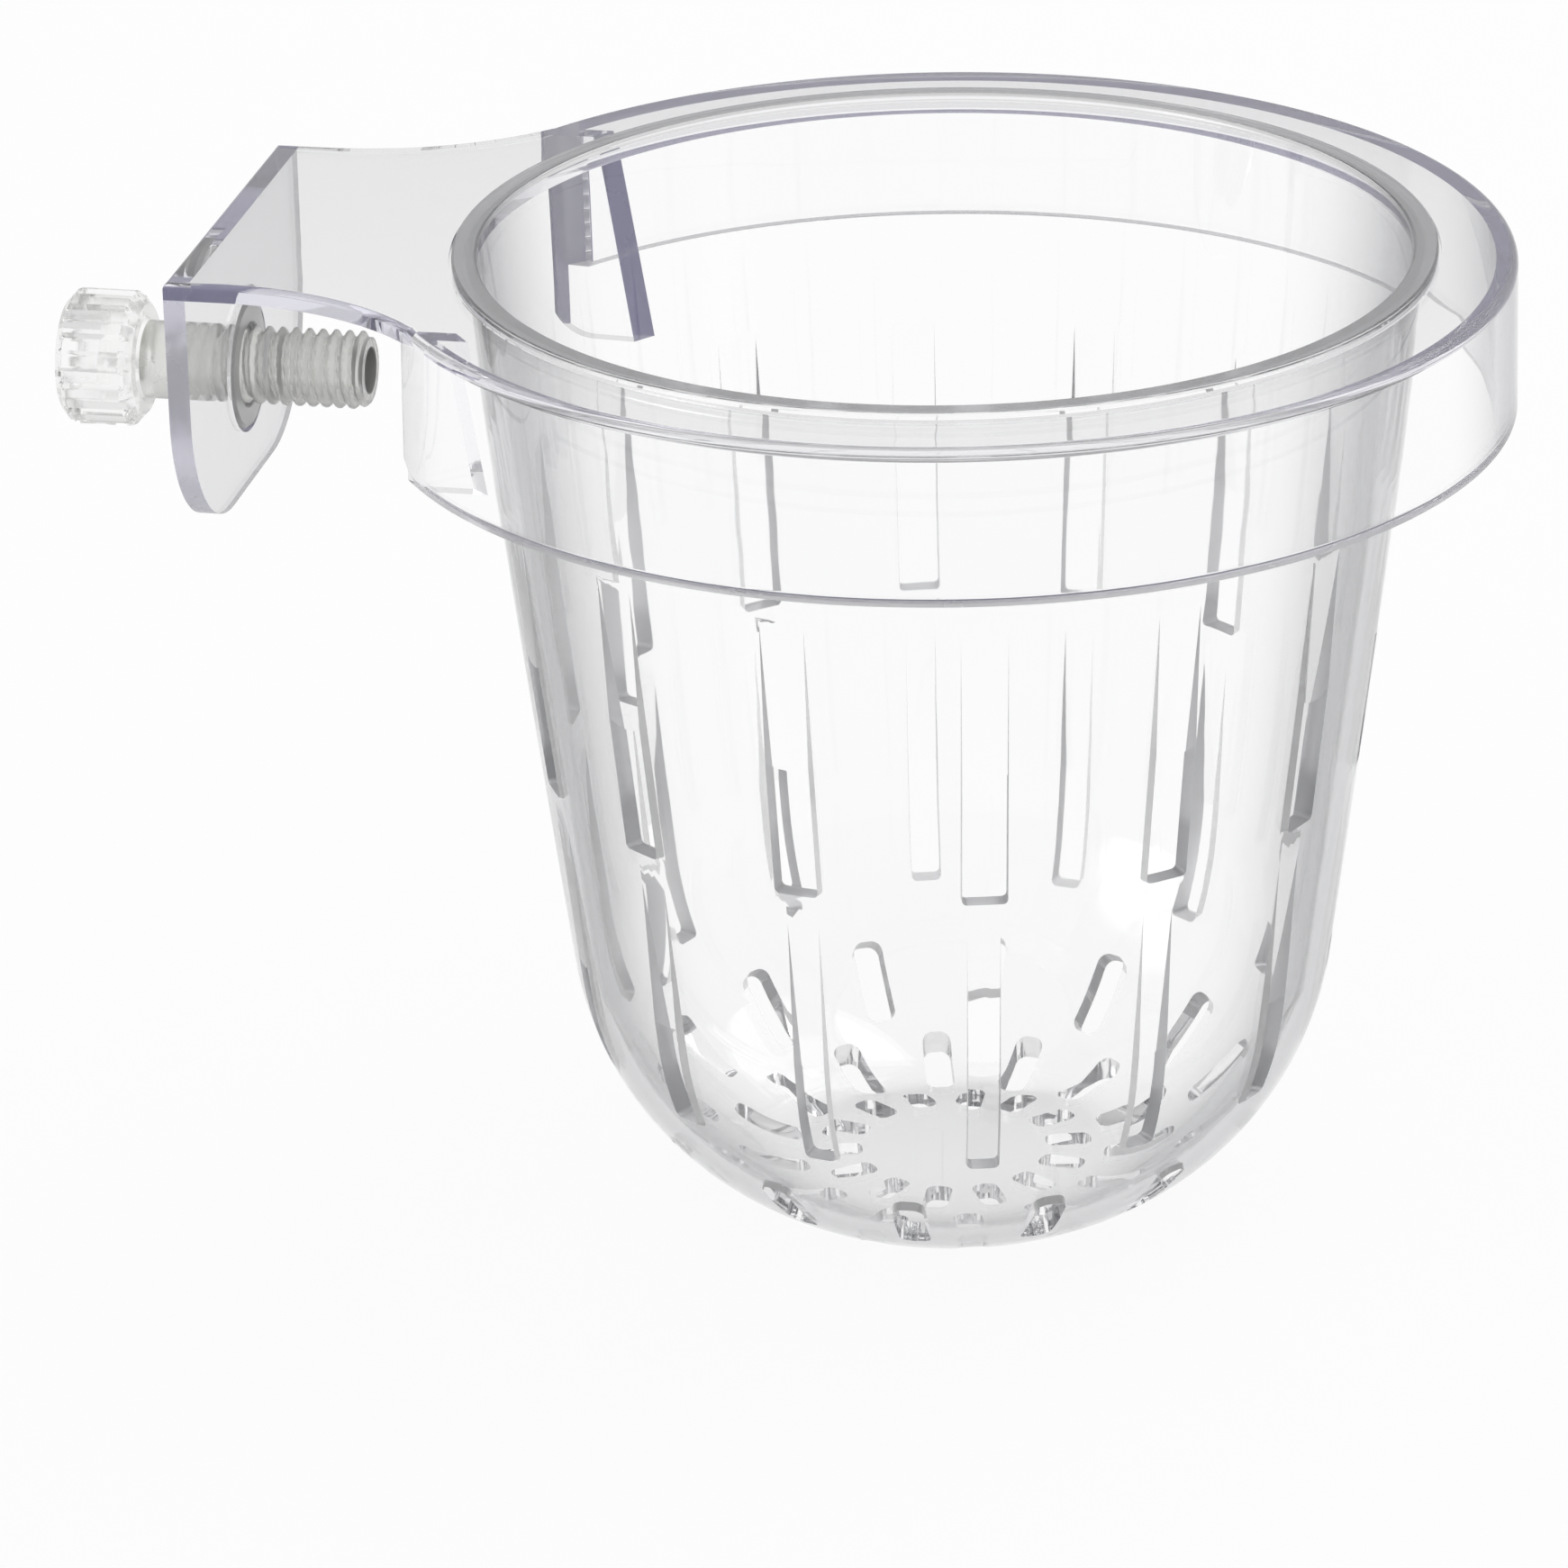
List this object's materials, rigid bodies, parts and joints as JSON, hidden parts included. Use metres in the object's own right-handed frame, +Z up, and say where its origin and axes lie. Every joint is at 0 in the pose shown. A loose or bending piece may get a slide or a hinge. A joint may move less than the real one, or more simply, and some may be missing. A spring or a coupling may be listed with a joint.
{
  "type": "aquarium plant holder",
  "caption": "Clear slotted plant basket in a ring hanger whose arm crosses a fish tank's wall and is clamped by a thumbscrew.",
  "frame": {"origin": "middle of the space for the tank wall, on the underside of the hanger's arm, in the hanger's middle plane", "axes": "+X from the clamp plate to the basket's axis, +Z up along the basket's axis, +Y along the tank wall"},
  "size_m": [0.1482, 0.1142, 0.1025],
  "materials": {
    "hanger_plastic": "clear gloss plastic with faint lilac edges",
    "basket_plastic": "clear gloss plastic with neutral grey edges",
    "screw_plastic": "clear plastic, slightly cloudy and warmer than the hanger"
  },
  "bodies": {
    "hanger": {"hanger_bracket": "hanger_plastic", "clamp_nut": "screw_plastic"},
    "basket": {"basket": "basket_plastic"},
    "clamp_screw": {"clamp_screw": "screw_plastic"}
  },
  "joints": [
    {"name": "basket_lift", "type": "slide", "parent": "hanger", "child": "basket", "axis": [0, 0, 1], "range_m": [0, 0.11]},
    {"name": "screw_advance", "type": "slide", "parent": "hanger", "child": "clamp_screw", "axis": [1, 0, 0], "range_m": [-0.0118, 0.0083]}
  ]
}
